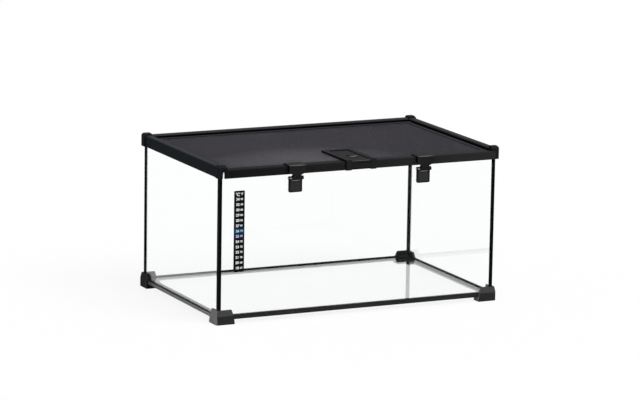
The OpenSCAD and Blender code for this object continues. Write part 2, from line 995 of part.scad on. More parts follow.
seated() rear_top_corner(true);  // rear_right_top_corner
seated() thermometer_strip();
seated() lid_front_bar();
seated() lid_rear_bar();
seated() lid_left_bar();
seated() lid_right_bar();
seated() screen_mesh();
seated() screen_retainer();
seated() hinge_pins();
seated() port_frame();
seated() latch_bracket(latch_xs[0]);  // left_latch_bracket
seated() latch_bracket(latch_xs[1]);  // right_latch_bracket
seated() latch_pins();
seated() port_slider();
seated() latch_tab(latch_xs[0]);  // left_latch_tab
seated() latch_tab(latch_xs[1]);  // right_latch_tab
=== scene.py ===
"""Glass reptile terrarium: finishes, fine pieces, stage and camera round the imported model.

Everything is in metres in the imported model's frame: X to the right, Y to the back, Z up.
"""

from __future__ import annotations

import logging
import math
from collections.abc import Mapping, Sequence
from dataclasses import dataclass, replace
from enum import Enum

import bmesh
import bpy
import numpy as np
from mathutils import Matrix, Vector


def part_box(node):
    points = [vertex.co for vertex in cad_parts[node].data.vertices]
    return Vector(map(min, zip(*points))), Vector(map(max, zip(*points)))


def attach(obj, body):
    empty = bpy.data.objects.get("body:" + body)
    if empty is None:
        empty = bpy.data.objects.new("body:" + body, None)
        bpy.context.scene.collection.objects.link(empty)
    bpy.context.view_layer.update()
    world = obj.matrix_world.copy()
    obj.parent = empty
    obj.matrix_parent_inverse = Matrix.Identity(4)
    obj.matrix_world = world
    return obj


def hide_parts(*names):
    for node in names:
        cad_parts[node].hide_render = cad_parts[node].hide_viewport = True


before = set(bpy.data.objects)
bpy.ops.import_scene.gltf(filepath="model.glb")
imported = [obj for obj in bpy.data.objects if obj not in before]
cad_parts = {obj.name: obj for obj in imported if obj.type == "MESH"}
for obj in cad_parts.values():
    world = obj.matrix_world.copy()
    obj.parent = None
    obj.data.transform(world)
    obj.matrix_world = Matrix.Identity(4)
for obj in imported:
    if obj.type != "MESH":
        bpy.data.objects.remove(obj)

log = logging.getLogger("terrarium")

MM = 0.001
Triple = tuple[float, float, float]
Colour = Triple


def rgba(colour: Colour) -> tuple[float, float, float, float]:
    """A colour with full opacity, as colour sockets want it."""
    return (*colour, 1.0)


def shaded(colour: Colour, share: float) -> Colour:
    """A colour times a share: below 1 it is darker, above 1 paler."""
    return tuple(share * part for part in colour)


# Shader arithmetic


class Socket:
    """An output socket that takes part in arithmetic: every operator adds one Math node."""

    def __init__(self, shader: Shader, output: bpy.types.NodeSocket) -> None:
        """Wraps one output socket of a shader's node tree."""
        self.shader = shader
        self.output = output

    def _math(self, operation: str, first: Value, second: Value = 0.0) -> Socket:
        """One Math node of the named operation on two values."""
        return self.shader.add("ShaderNodeMath", {"operation": operation}, {0: first, 1: second})

    def __add__(self, other: Value) -> Socket:
        """Sum of two values."""
        return self._math("ADD", self, other)

    def __sub__(self, other: Value) -> Socket:
        """Difference of two values."""
        return self._math("SUBTRACT", self, other)

    def __rsub__(self, other: Value) -> Socket:
        """Difference with the plain number first."""
        return self._math("SUBTRACT", other, self)

    def __mul__(self, other: Value) -> Socket:
        """Product of two values."""
        return self._math("MULTIPLY", self, other)

    def __truediv__(self, other: Value) -> Socket:
        """Quotient of two values."""
        return self._math("DIVIDE", self, other)

    def __pow__(self, other: Value) -> Socket:
        """Power of a value."""
        return self._math("POWER", self, other)

    def __abs__(self) -> Socket:
        """Size of a value without its sign."""
        return self._math("ABSOLUTE", self)

    __radd__ = __add__
    __rmul__ = __mul__

    def over(self, other: Value) -> Socket:
        """The larger of two values."""
        return self._math("MAXIMUM", self, other)

    def under(self, other: Value) -> Socket:
        """The smaller of two values."""
        return self._math("MINIMUM", self, other)

    def unit(self) -> Socket:
        """The value held between 0 and 1."""
        return self.over(0.0).under(1.0)

    def span(self, start: float, gain: float) -> Socket:
        """A start plus the value times a gain."""
        return self * gain + start

    def swing(self, amount: float) -> Socket:
        """How far the value is from the middle of a noise, 0.5, times an amount."""
        return (self - 0.5) * amount


Value = Socket | float


class Shader:
    """The node tree of one material or of the world."""

    def __init__(self, owner: bpy.types.Material | bpy.types.World) -> None:
        """Empties the owner's tree, ready for new nodes.

        Args:
            owner: the material or the world whose tree it is.
        """
        owner.use_nodes = True
        self.owner = owner
        self.tree = owner.node_tree
        self.tree.nodes.clear()

    @classmethod
    def named(cls, name: str) -> Shader:
        """The empty tree of a new material."""
        return cls(bpy.data.materials.new(name))

    def add(
        self,
        kind: str,
        settings: Mapping[str, object] | None = None,
        inputs: Mapping[int | str, object] | None = None,
        output: int | str = 0,
    ) -> Socket:
        """Adds one node.

        Args:
            kind: Blender's type name of the node.
            settings: attributes that are set before the sockets, such as an operation.
            inputs: values or sockets for the node's inputs, by index or name.
            output: index or name of the output that is returned.

        Returns:
            The wrapped output socket.
        """
        node = self.tree.nodes.new(kind)
        for name, value in (settings or {}).items():
            setattr(node, name, value)
        for key, value in (inputs or {}).items():
            if isinstance(value, Socket):
                self.tree.links.new(value.output, node.inputs[key])
            else:
                node.inputs[key].default_value = value
        return Socket(self, node.outputs[output])

    def axes(self, vector: Socket) -> list[Socket]:
        """The three components of a vector."""
        split = self.add("ShaderNodeSeparateXYZ", {}, {0: vector})
        return [Socket(self, out) for out in split.output.node.outputs]

    def place(self) -> list[Socket]:
        """The object coordinates of the shaded point along X, Y and Z, in metres."""
        return self.axes(self.add("ShaderNodeTexCoord", output="Object"))

    def facing(self) -> list[Socket]:
        """The three components of the face's own normal, in the frame's axes."""
        return self.axes(self.add("ShaderNodeTexCoord", output="Normal"))

    def noise(self, size: float, detail: float = 3.0, stretch: Triple = (1.0, 1.0, 1.0)) -> Socket:
        """Cloudy noise.

        Args:
            size: width of a cloud in metres.
            detail: number of finer layers.
            stretch: how many times finer the clouds are along each axis.

        Returns:
            A value round 0.5.
        """
        place = self.add("ShaderNodeTexCoord", output="Object")
        place = self.add("ShaderNodeMapping", {}, {"Vector": place, "Scale": stretch})
        inputs = {"Vector": place, "Scale": 1.0 / size, "Detail": detail}
        return self.add("ShaderNodeTexNoise", {}, inputs)

    def blend(self, factor: Value, low: Socket | Colour, high: Socket | Colour) -> Socket:
        """Mixes two colours.

        Args:
            factor: the share of the second colour, from 0 to 1.
            low: the first colour.
            high: the second colour.

        Returns:
            The mixed colour.
        """
        ends = [side if isinstance(side, Socket) else rgba(side) for side in (low, high)]
        inputs = {0: factor, 6: ends[0], 7: ends[1]}
        return self.add("ShaderNodeMix", {"data_type": "RGBA"}, inputs, output=2)

    def bump(self, height: Socket, depth: float, edge_radius: float = 0.0) -> Socket:
        """A normal disturbed by a height.

        Args:
            height: value from 0 to 1.
            depth: real height of a step from 0 to 1, in metres.
            edge_radius: radius by which sharp edges look rounded, in metres.

        Returns:
            The normal.
        """
        inputs: dict[int | str, object] = {"Height": height, "Distance": depth, "Strength": 1.0}
        if edge_radius:
            inputs["Normal"] = self.add("ShaderNodeBevel", {"samples": 4}, {"Radius": edge_radius})
        return self.add("ShaderNodeBump", {}, inputs)

    def finish(self, surface: Socket) -> bpy.types.Material | bpy.types.World:
        """Ends the tree with an output node.

        Args:
            surface: the shader that the output node shows.

        Returns:
            The material or the world that owns the tree.
        """
        is_world = isinstance(self.owner, bpy.types.World)
        node = self.tree.nodes.new("ShaderNodeOutputWorld" if is_world else "ShaderNodeOutputMaterial")
        self.tree.links.new(surface.output, node.inputs["Surface"])
        return self.owner

    def principled(self, inputs: Mapping[int | str, object]) -> bpy.types.Material:
        """Ends the tree with one Principled surface that has these inputs."""
        return self.finish(self.add("ShaderNodeBsdfPrincipled", {}, inputs))


# Masks


class Axis(Enum):
    """An axis of the frame."""

    X = 0
    Y = 1
    Z = 2


class Way(Enum):
    """A way that a face looks: the number of its axis, and its sign along it."""

    LEFT = (0, -1.0)
    FRONT = (1, -1.0)
    UP = (2, 1.0)


TONE_EDGE = 0.1 * MM


@dataclass(frozen=True)
class FacedTone:
    """A tone on the faces that look one way: a sunk panel's own colour, or painted light or
    shade on a side or a wall.

    The tone starts at one place along an axis and is full at another: close together they are
    the edge of a moulded panel, and far apart a slow change.
    """

    faces: Way
    along: Axis
    start: float
    full: float
    colour: Colour

    @classmethod
    def everywhere(cls, faces: Way, colour: Colour) -> FacedTone:
        """A tone on all the faces that look one way, at any height."""
        return cls(faces, Axis.Z, 0.0, TONE_EDGE, colour)

    def mask(self, shader: Shader) -> Socket:
        """A ramp from the start to the full place, on faces that look the tone's way.

        Args:
            shader: the node tree that takes the mask.

        Returns:
            The mask, from 0 to 1.
        """
        axis, sign = self.faces.value
        place = shader.place()[self.along.value]
        ramp = ((place - self.start) * (1.0 / (self.full - self.start))).unit()
        return ramp * (shader.facing()[axis] * sign).unit()


@dataclass(frozen=True)
class PaintedHighlight:
    """A painted highlight along an edge that runs along X: a long ellipsoid round its middle."""

    middle: Vector
    half_length: float
    reach: float = 1.0 * MM

    def mask(self, shader: Shader) -> Socket:
        """Falls from 1 at the middle, as the square of the distance, to 0 at the ellipsoid's skin.

        Args:
            shader: the node tree that takes the mask.

        Returns:
            The mask, from 0 to 1.
        """
        halves = (self.half_length, self.reach, self.reach)
        away = [
            ((at - middle) * (1.0 / half)) ** 2.0
            for at, middle, half in zip(shader.place(), self.middle, halves)
        ]
        return (1 - away[0] - away[1] - away[2]).unit()


# Finishes


@dataclass(frozen=True)
class MouldedPlastic:
    """Black moulded plastic: fine spark-eroded grain, soft edges, dust where it faces up,
    painted highlights along chosen edges, and tones on chosen faces.

    A pair of numbers is a start and a gain, by which a noise thins the dust or breaks the
    painted highlights along the edges.
    """

    name: str
    colour: Colour
    dusty: Colour
    roughness: float
    specular: float
    grain: float = 0.5 * MM
    grain_depth: float = 0.02 * MM
    grain_gloss: float = 0.16
    edge_radius: float = 0.5 * MM
    cloud: float = 45 * MM
    cloud_gloss: float = 0.12
    speckle: float = 1.2 * MM
    worn: float = 1.35
    wear_contrast: float = 1.6
    wear_floor: float = 0.3
    dust_power: float = 3.0
    dust_clouds: tuple[float, float] = (0.55, 0.5)
    dust_speckle: tuple[float, float] = (0.75, 0.5)
    highlight_speckle: tuple[float, float] = (1.0, 1.6)
    # Painted highlights: round each of these edges the colour goes to the highlight colour.
    edges: tuple[PaintedHighlight, ...] = ()
    highlight_colour: Colour = (0.115, 0.115, 0.118)
    tones: tuple[FacedTone, ...] = ()

    def _plain(self, shader: Shader, cloud: Socket) -> Socket:
        """The colour of the clean plastic, paler in worn patches."""
        wear = (cloud * self.wear_contrast - self.wear_floor).unit()
        return shader.blend(wear, self.colour, shaded(self.colour, self.worn))

    def _highlights(self, shader: Shader, speckle: Socket) -> Value:
        """The masks of all the painted highlights together, broken by speckle and cut off flat at 1.

        Args:
            shader: the node tree that takes the masks.
            speckle: the noise that breaks the painted highlights.

        Returns:
            The mask, from 0 to 1.
        """
        masks: Value = 0.0
        for edge in self.edges:
            masks = edge.mask(shader) + masks
        return (masks * speckle.span(*self.highlight_speckle)).unit()

    def material(self) -> bpy.types.Material:
        """Builds the finish's node tree.

        Returns:
            The finish as a material.
        """
        shader = Shader.named(self.name)
        cloud = shader.noise(self.cloud)
        grain = shader.noise(self.grain, detail=2.0)
        speckle = shader.noise(self.speckle, detail=4.0)
        upward = shader.facing()[Axis.Z.value].unit() ** self.dust_power
        dust = upward * cloud.span(*self.dust_clouds) * speckle.span(*self.dust_speckle)
        colour = shader.blend(dust.unit(), self._plain(shader, cloud), self.dusty)
        # Tones on faces that look one way: a sunk panel's own colour, or painted light or shade.
        for tone in self.tones:
            colour = shader.blend(tone.mask(shader), colour, tone.colour)
        # Painted highlights along the listed edges.
        if self.edges:
            colour = shader.blend(self._highlights(shader, speckle), colour, self.highlight_colour)
        gloss = self.roughness + grain.swing(self.grain_gloss) + cloud.swing(self.cloud_gloss)
        return shader.principled({
            "Base Color": colour,
            "Roughness": gloss.unit(),
            "Specular IOR Level": self.specular,
            "Normal": shader.bump(grain, self.grain_depth, self.edge_radius),
        })


@dataclass(frozen=True)
class FloatGlass:
    """Clear float glass: colourless through its faces, green through its edges, sealed in black.

    The sealant covers the upright end faces, and a bead of it shows along each upright end: on
    both faces of a side pane, wider at its rear end, and on the inner face of the front and
    rear panes. The glare is the share of the head-on reflection that a thin coating leaves.
    """

    axis: Axis
    middle: Vector
    half: Vector
    body: Colour = (0.990, 0.997, 0.994)
    edge: Colour = (0.34, 0.62, 0.52)
    sealant: Colour = (0.004, 0.004, 0.0045)
    glare: Colour = (0.15, 0.15, 0.15)
    ior: float = 1.5
    face_bead: float = 0.5 * MM
    front_bead: float = 3.0 * MM
    rear_bead: float = 6.0 * MM
    bead_edge: float = 0.2 * MM
    bead_wave: float = 30 * MM
    smear: float = 60 * MM
    smear_start: float = 0.45
    smear_haze: float = 0.09
    edge_haze: float = 0.12
    sealed_haze: float = 0.9

    @classmethod
    def of(cls, node: str) -> FloatGlass:
        """The glass of a pane, whose faces look along its thinnest side.

        Args:
            node: name of the pane.

        Returns:
            Its finish.
        """
        low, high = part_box(node)
        half = (high - low) / 2
        axis = Axis(min(range(3), key=lambda side: half[side]))
        return cls(axis, Vector((low + high) / 2), Vector(half))

    def _sealed(self, shader: Shader, normal: Sequence[Socket]) -> Value:
        """1 where black sealant covers the pane: past the bead's wavy edge, and on the ends.

        Args:
            shader: the node tree that takes the mask.
            normal: the three components of the face's normal.

        Returns:
            The mask, from 0 to 1.
        """
        if self.axis is Axis.Z:
            return 0.0
        across = self.axis.value
        along = 1 - across
        place = shader.place()
        waves = (shader.noise(self.bead_wave, detail=1.0) - 0.5) * self.bead_edge
        from_end = self.half[along] - abs(place[along] - self.middle[along])
        width: Value = self.face_bead
        if self.axis is Axis.X:
            is_rear = (place[along] / MM).unit()
            width = self.front_bead + is_rear * (self.rear_bead - self.front_bead)
        bead = ((width + waves - from_end) / self.bead_edge).unit()
        if self.axis is Axis.Y:
            outward = normal[across] * (place[across] - self.middle[across])
            bead = bead * (outward * -1.0 / MM).unit()
        return (bead + abs(normal[along])).unit()

    def material(self, name: str) -> bpy.types.Material:
        """Builds the finish's node tree.

        Args:
            name: name of the material.

        Returns:
            The finish as a material.
        """
        shader = Shader.named(name)
        normal = shader.facing()
        is_face = abs(normal[self.axis.value]).unit()
        sealed = self._sealed(shader, normal)
        smear = shader.noise(self.smear, detail=5.0, stretch=(1.0, 1.0, 0.4))
        haze = ((smear - self.smear_start) * self.smear_haze).over(0.0)
        clear = haze * is_face + (1 - is_face) * self.edge_haze
        bare = shader.blend(is_face, self.edge, self.body)
        return shader.principled({
            "Base Color": shader.blend(sealed, bare, self.sealant),
            "Roughness": (clear + sealed * self.sealed_haze).unit(),
            "Metallic": sealed,
            "IOR": self.ior,
            "Specular Tint": rgba(self.glare),
            "Transmission Weight": 1.0,
        })


@dataclass(frozen=True)
class SealStrip:
    """Glossy black extruded strip with faint drawing lines up its length."""

    name: str = "Extruded seal"
    colour: Colour = (0.0022, 0.0022, 0.0024)
    paler: float = 1.8
    cloud: float = 30 * MM
    roughness: float = 0.32
    specular: float = 0.01
    line: float = 0.6 * MM
    line_depth: float = 0.01 * MM
    line_gloss: float = 0.2
    edge_radius: float = 0.3 * MM

    def material(self) -> bpy.types.Material:
        """Builds the finish's node tree.

        Returns:
            The finish as a material.
        """
        shader = Shader.named(self.name)
        lines = shader.noise(self.line, detail=2.0, stretch=(1.0, 1.0, 0.02))
        cloud = shader.noise(self.cloud)
        return shader.principled({
            "Base Color": shader.blend(cloud, self.colour, shaded(self.colour, self.paler)),
            "Roughness": self.roughness + lines.swing(self.line_gloss),
            "Specular IOR Level": self.specular,
            "Normal": shader.bump(lines, self.line_depth, self.edge_radius),
        })


@dataclass(frozen=True)
class DrawnWire:
    """Drawn steel of the pins, with fine lines along X that are duller and smoother."""

    name: str = "Drawn steel"
    colour: Colour = (0.56, 0.56, 0.57)
    dull: float = 0.7
    line: float = 0.25 * MM
    line_depth: float = 0.01 * MM
    roughness: tuple[float, float] = (0.24, 0.2)

    def material(self) -> bpy.types.Material:
        """Builds the finish's node tree.

        Returns:
            The finish as a material.
        """
        shader = Shader.named(self.name)
        lines = shader.noise(self.line, detail=2.0, stretch=(0.05, 1.0, 1.0))
        return shader.principled({
            "Base Color": shader.blend(lines, shaded(self.colour, self.dull), self.colour),
            "Metallic": 1.0,
            "Roughness": lines.span(*self.roughness),
            "Normal": shader.bump(lines, self.line_depth),
        })


@dataclass(frozen=True)
class CoatedScreenWire:
    """Black coated wire of the screen: matt, with uneven coating, a trace of dust, and a painted
    pool of light in front.
    """

    name: str = "Coated screen wire"
    colour: Colour = (0.053, 0.049, 0.059)
    # The colour of the dust, and also of the painted pool of light in front.
    dusty: Colour = (0.152, 0.146, 0.166)
    lit_patch_middle: tuple[float, float] = (-90 * MM, -150 * MM)
    lit_patch_reach: tuple[float, float] = (190 * MM, 150 * MM)
    lit_patch_peak: float = 0.8
    cloud: float = 130 * MM
    cloud_dust: float = 0.5
    coating: float = 2.5 * MM
    coating_depth: float = 0.02 * MM
    coating_dust: float = 0.4
    coating_gloss: float = 0.3
    roughness: float = 0.62
    specular: float = 0.12

    def material(self) -> bpy.types.Material:
        """Builds the finish's node tree: an oval patch in front is painted paler, as a pool of light,
        with clouds of dust and uneven coating on top.

        Returns:
            The finish as a material.
        """
        shader = Shader.named(self.name)
        x, y, _ = shader.place()
        cloud = shader.noise(self.cloud, detail=2.0)
        coating = shader.noise(self.coating, detail=3.0)
        # Painted light: an oval pool, palest at its middle.
        across = ((x - self.lit_patch_middle[0]) / self.lit_patch_reach[0]) ** 2.0
        deep = ((y - self.lit_patch_middle[1]) / self.lit_patch_reach[1]) ** 2.0
        patch = (1 - across - deep).unit() * self.lit_patch_peak
        # Painted pool of light plus clouds of dust and uneven coating.
        dust = patch + cloud.swing(self.cloud_dust) + coating.swing(self.coating_dust)
        return shader.principled({
            "Base Color": shader.blend(dust.unit(), self.colour, self.dusty),
            "Roughness": (self.roughness + coating.swing(self.coating_gloss)).unit(),
            "Specular IOR Level": self.specular,
            "Normal": shader.bump(coating, self.coating_depth),
        })


@dataclass(frozen=True)
class PrintedInk:
    """Ink of the thermometer's numbers, a little uneven as screen print is."""

    name: str
    colour: Colour
    thin: float = 0.8
    cover: float = 0.8 * MM
    cover_depth: float = 0.005 * MM
    cover_gloss: float = 0.2
    roughness: float = 0.35
    specular: float = 0.2

    def material(self) -> bpy.types.Material:
        """Builds the finish's node tree.

        Returns:
            The finish as a material.
        """
        shader = Shader.named(self.name)
        cover = shader.noise(self.cover, detail=3.0)
        return shader.principled({
            "Base Color": shader.blend(cover, shaded(self.colour, self.thin), self.colour),
            "Roughness": self.roughness + cover.swing(self.cover_gloss),
            "Specular IOR Level": self.specular,
            "Normal": shader.bump(cover, self.cover_depth),
        })


@dataclass(frozen=True)
class FilmStrip:
    """Black liquid-crystal film that glows blue and violet round two of its rows."""

    blue_z: float
    violet_z: float
    reach: float
    name: str = "Thermometer film"
    black: Colour = (0.0015, 0.0015, 0.002)
    blue: Colour = (0.003, 0.036, 0.072)
    violet: Colour = (0.008, 0.005, 0.022)
    mottle: float = 2.5 * MM
    mottle_depth: float = 0.01 * MM
    mottle_gloss: float = 0.12
    glow_mottle: tuple[float, float] = (0.6, 0.8)
    roughness: float = 0.22
    specular: float = 0.06

    def _glow(self, height: Socket, centre: float, mottle: Socket) -> Socket:
        """A parabola that falls from 1 at a row's middle to 0 at its reach, broken by mottle."""
        near = (1 - (abs(height - centre) / self.reach) ** 2.0).unit()
        return (near * mottle.span(*self.glow_mottle)).unit()

    def material(self) -> bpy.types.Material:
        """Builds the finish's node tree.

        Returns:
            The finish as a material.
        """
        shader = Shader.named(self.name)
        height = shader.place()[Axis.Z.value]
        mottle = shader.noise(self.mottle)
        cool = shader.blend(self._glow(height, self.violet_z, mottle), self.black, self.violet)
        return shader.principled({
            "Base Color": shader.blend(self._glow(height, self.blue_z, mottle), cool, self.blue),
            "Roughness": self.roughness + mottle.swing(self.mottle_gloss),
            "Specular IOR Level": self.specular,
            "Normal": shader.bump(mottle, self.mottle_depth),
        })


FRAME_PLASTIC = MouldedPlastic(
    "Frame plastic", (0.0078, 0.0100, 0.0118), (0.036, 0.038, 0.042), 0.62, 0.012
)
FITTING_PLASTIC = MouldedPlastic(
    "Fitting plastic", (0.0110, 0.0110, 0.0112), (0.020, 0.020, 0.0205), 0.62, 0.02
)
SHADE = (0.0015, 0.0015, 0.0016)


# Pieces


def nodes_like(word: str) -> list[str]:
    """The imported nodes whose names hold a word."""
    return [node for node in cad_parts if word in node]


def dress(finish: bpy.types.Material, *nodes: str) -> None:
    """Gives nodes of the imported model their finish.

    Args:
        finish: the material.
        nodes: names of the nodes.
    """
    for node in nodes:
        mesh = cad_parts[node].data
        mesh.materials.clear()
        mesh.materials.append(finish)
        log.info("%s: %s", node, finish.name)


def new_piece(
    name: str, mesh: bpy.types.Mesh, finish: bpy.types.Material, body: str
) -> bpy.types.Object:
    """Makes a piece of a mesh that is already in place.

    Args:
        name: name of the piece.
        mesh: its mesh, in the frame's metres.
        finish: its material.
        body: the body that it rides on.

    Returns:
        The linked object, at the origin.
    """
    mesh.name = name
    mesh.materials.clear()
    mesh.materials.append(finish)
    piece = bpy.data.objects.new(name, mesh)
    bpy.context.scene.collection.objects.link(piece)
    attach(piece, body)
    log.info("%s: %d faces on %s", name, len(mesh.polygons), body)
    return piece


def round_bars(starts: np.ndarray, ends: np.ndarray, radius: float, sides: int) -> bpy.types.Mesh:
    """Straight level bars with closed ends.

    Ring point k is an end plus the radius times (cos a * side + sin a * up), where a is
    2 pi k / sides and side is the bar's direction crossed with Z.

    Args:
        starts: start points, one row per bar.
        ends: end points, one row per bar.
        radius: radius of a bar.
        sides: number of faces round a bar.

    Returns:
        One mesh that holds all the bars.
    """
    along = ends - starts
    along /= np.linalg.norm(along, axis=1, keepdims=True)
    up = np.array([0.0, 0.0, 1.0])
    side = np.cross(along, up)
    angle = np.arange(sides) * 2 * np.pi / sides
    ring = radius * (
        np.cos(angle)[None, :, None] * side[:, None, :] + np.sin(angle)[None, :, None] * up
    )
    points = np.stack([starts, ends], axis=1)[:, :, None, :] + ring[:, None, :, :]
    first = (np.arange(len(starts)) * 2 * sides)[:, None]
    k = np.arange(sides)
    following = (k + 1) % sides
    quads = np.stack(
        [first + k, first + sides + k, first + sides + following, first + following], axis=-1
    )
    caps = np.concatenate([first + k, first + sides + k[::-1]])
    mesh = bpy.data.meshes.new("bars")
    mesh.from_pydata(points.reshape(-1, 3), [], [*quads.reshape(-1, 4).tolist(), *caps.tolist()])
    mesh.update()
    return mesh


# Sub-assemblies


@dataclass
class Tank:
    """The glass box: panes, corner strips, bottom and top rails, feet and top blocks."""

    base_plastic: MouldedPlastic = MouldedPlastic(
        "Base plastic", (0.0185, 0.0182, 0.0192), (0.040, 0.040, 0.041), 0.55, 0.01
    )
    # Painted light: the feet's left faces grow paler from the rear to the front.
    foot_painted_light: FacedTone = FacedTone(
        Way.LEFT, Axis.Y, 150 * MM, -150 * MM, (0.200, 0.200, 0.207)
    )
    foot_knee: float = 14.0 * MM
    # Painted highlight: the feet's front faces above the knee are paler.
    foot_painted_highlight: Colour = (0.052, 0.052, 0.054)
    # Painted light: the bottom rails' left faces grow paler towards the front.
    rail_painted_light: FacedTone = FacedTone(
        Way.LEFT, Axis.Y, 150 * MM, 90 * MM, (0.262, 0.262, 0.271)
    )
    # Painted shade: a dark band this high along the top of the bottom rails' left faces.
    sill_shade_height: float = 1.6 * MM
    sill_shade: Colour = (0.0035, 0.0035, 0.0036)
    # Painted light on the top rails' walls towards the lid.
    wall_painted_light: Colour = (0.042, 0.042, 0.044)
    # How far below the rail's top the painted shade on the wall starts.
    wall_shade_drop: float = 1.9 * MM
    wall_edge: float = 0.5 * MM

    def _feet(self) -> bpy.types.Material:
        """The feet's plastic: painted light on the left faces, paler towards the front, and a band of
        painted highlight on the front faces above the knee.

        Returns:
            The material.
        """
        knee = self.foot_knee
        band = FacedTone(Way.FRONT, Axis.Z, knee, knee + TONE_EDGE, self.foot_painted_highlight)
        tones = (self.foot_painted_light, band)
        return replace(self.base_plastic, name="Foot plastic", tones=tones).material()

    def _bottom_rails(self) -> bpy.types.Material:
        """The bottom rails' plastic: painted light on the left faces, paler in front, and a band of
        painted shade along the top of those faces.

        Returns:
            The material.
        """
        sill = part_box("left_bottom_rail")[1].z - self.sill_shade_height
        # Painted shade along the top of the left faces.
        bead = FacedTone(Way.LEFT, Axis.Z, sill, sill + TONE_EDGE, self.sill_shade)
        return replace(self.base_plastic, tones=(self.rail_painted_light, bead)).material()

    def _walled_rail(self, name: str, faces: Way) -> bpy.types.Material:
        """A top rail's plastic, whose wall towards the lid has painted light above and painted shade
        below.

        Args:
            name: name of the material.
            faces: the way that the wall looks.

        Returns:
            The material.
        """
        # Painted shade on the lower wall, painted light above it.
        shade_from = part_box("rear_top_rail")[1].z - self.wall_shade_drop
        wall_shade = FacedTone(faces, Axis.Z, shade_from, shade_from - self.wall_edge, SHADE)
        tones = (FacedTone.everywhere(faces, self.wall_painted_light), wall_shade)
        return replace(FRAME_PLASTIC, name=name, tones=tones).material()

    def build(self, frame_plastic: bpy.types.Material) -> None:
        """Dresses the tank's nodes.

        Args:
            frame_plastic: the material of the left rail and the top blocks.
        """
        for pane in nodes_like("glass"):
            dress(FloatGlass.of(pane).material(f"Float glass of {pane}"), pane)
        dress(SealStrip().material(), *nodes_like("corner_strip"))
        dress(self._feet(), *nodes_like("foot"))
        dress(self._bottom_rails(), *nodes_like("bottom_rail"))
        dress(frame_plastic, "left_top_rail", *nodes_like("top_corner"))
        dress(self._walled_rail("Rear rail plastic", Way.FRONT), "rear_top_rail")
        dress(self._walled_rail("Right rail plastic", Way.LEFT), "right_top_rail")


@dataclass
class LidFrame:
    """The lid's four bars, the strips that hold its screen, and the steel pins."""

    bar_plastic: MouldedPlastic = MouldedPlastic(
        "Lid plastic", (0.0112, 0.0106, 0.0106), (0.034, 0.033, 0.036), 0.62, 0.012
    )
    front_plastic: MouldedPlastic = MouldedPlastic(
        "Front bar plastic", (0.0060, 0.0057, 0.0057), (0.0080, 0.0080, 0.0087), 0.62, 0.012,
        # Painted light: the front bar's front faces and tops grow paler towards the right.
        tones=(
            FacedTone(Way.FRONT, Axis.X, -250 * MM, 250 * MM, (0.0215, 0.0204, 0.0204)),
            FacedTone(Way.UP, Axis.X, -250 * MM, 120 * MM, (0.0215, 0.0215, 0.0232)),
        ),
    )

    def build(self, frame_plastic: bpy.types.Material) -> None:
        """Dresses the bars, the retainer strips and the pins.

        Args:
            frame_plastic: the material of the retainer strips.
        """
        dress(self.front_plastic.material(), "lid_front_bar")
        dress(self.bar_plastic.material(), "lid_rear_bar", "lid_left_bar", "lid_right_bar")
        dress(frame_plastic, "screen_retainer")
        dress(DrawnWire().material(), *nodes_like("pins"))


@dataclass
class FlipLatches:
    """The two latches on the lid's front edge: brackets over the apron, and flip tabs.

    The nose's and the shoulder's half lengths are shares of the width of their nodes.
    """

    nose_radius: float = 0.55 * MM
    nose_half: float = 0.6
    shoulder_half: float = 0.36
    shoulder_reach: float = 1.2 * MM
    tab_height: float = 20.0 * MM
    tab_highlight: Colour = (0.27, 0.27, 0.27)
    ear_radius: float = 3.2 * MM
    ear_drop: float = 2.9 * MM
    ear_inset: float = 2.6 * MM
    ear_half: float = 2.4 * MM
    ear_reach: float = 1.4 * MM
    panel_depth: float = 0.6 * MM
    panel_colour: Colour = (0.027, 0.027, 0.027)

    def _bracket(self, node: str) -> bpy.types.Material:
        """A bracket's plastic, with a painted highlight along its nose and painted shade on its left
        side.

        Args:
            node: name of the bracket.

        Returns:
            The material.
        """
        low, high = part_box(node)
        middle = (low.x + high.x) / 2
        nose = Vector((middle, low.y + self.nose_radius, high.z - self.nose_radius))
        # Painted highlight along the nose, and painted shade on the left faces.
        edge = PaintedHighlight(nose, (high.x - low.x) * self.nose_half)
        tones = (FacedTone.everywhere(Way.LEFT, SHADE),)
        name = f"Plastic of {node}"
        return replace(FITTING_PLASTIC, name=name, edges=(edge,), tones=tones).material()

    def _tab(self, node: str) -> bpy.types.Material:
        """A tab's plastic, with painted highlights at its shoulder and left ear, and a paler sunk
        panel.

        Args:
            node: name of the tab.

        Returns:
            The material.
        """
        low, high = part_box(node)
        front = low.y + self.ear_radius
        # Painted highlights at the shoulder and on the left ear.
        shoulder = PaintedHighlight(
            Vector(((low.x + high.x) / 2, front, low.z + self.tab_height)),
            (high.x - low.x) * self.shoulder_half,
            self.shoulder_reach,
        )
        ear = PaintedHighlight(
            Vector((low.x + self.ear_inset, low.y, high.z - self.ear_drop)),
            self.ear_half,
            self.ear_reach,
        )
        sunk = front + self.panel_depth / 2
        panel = FacedTone(Way.FRONT, Axis.Y, sunk, sunk + TONE_EDGE, self.panel_colour)
        return replace(
            FITTING_PLASTIC, name=f"Plastic of {node}", edges=(shoulder, ear),
            highlight_colour=self.tab_highlight, tones=(panel,),
        ).material()

    def build(self) -> None:
        """Dresses the brackets and the tabs."""
        for node in nodes_like("latch_bracket"):
            dress(self._bracket(node), node)
        for node in nodes_like("latch_tab"):
            dress(self._tab(node), node)


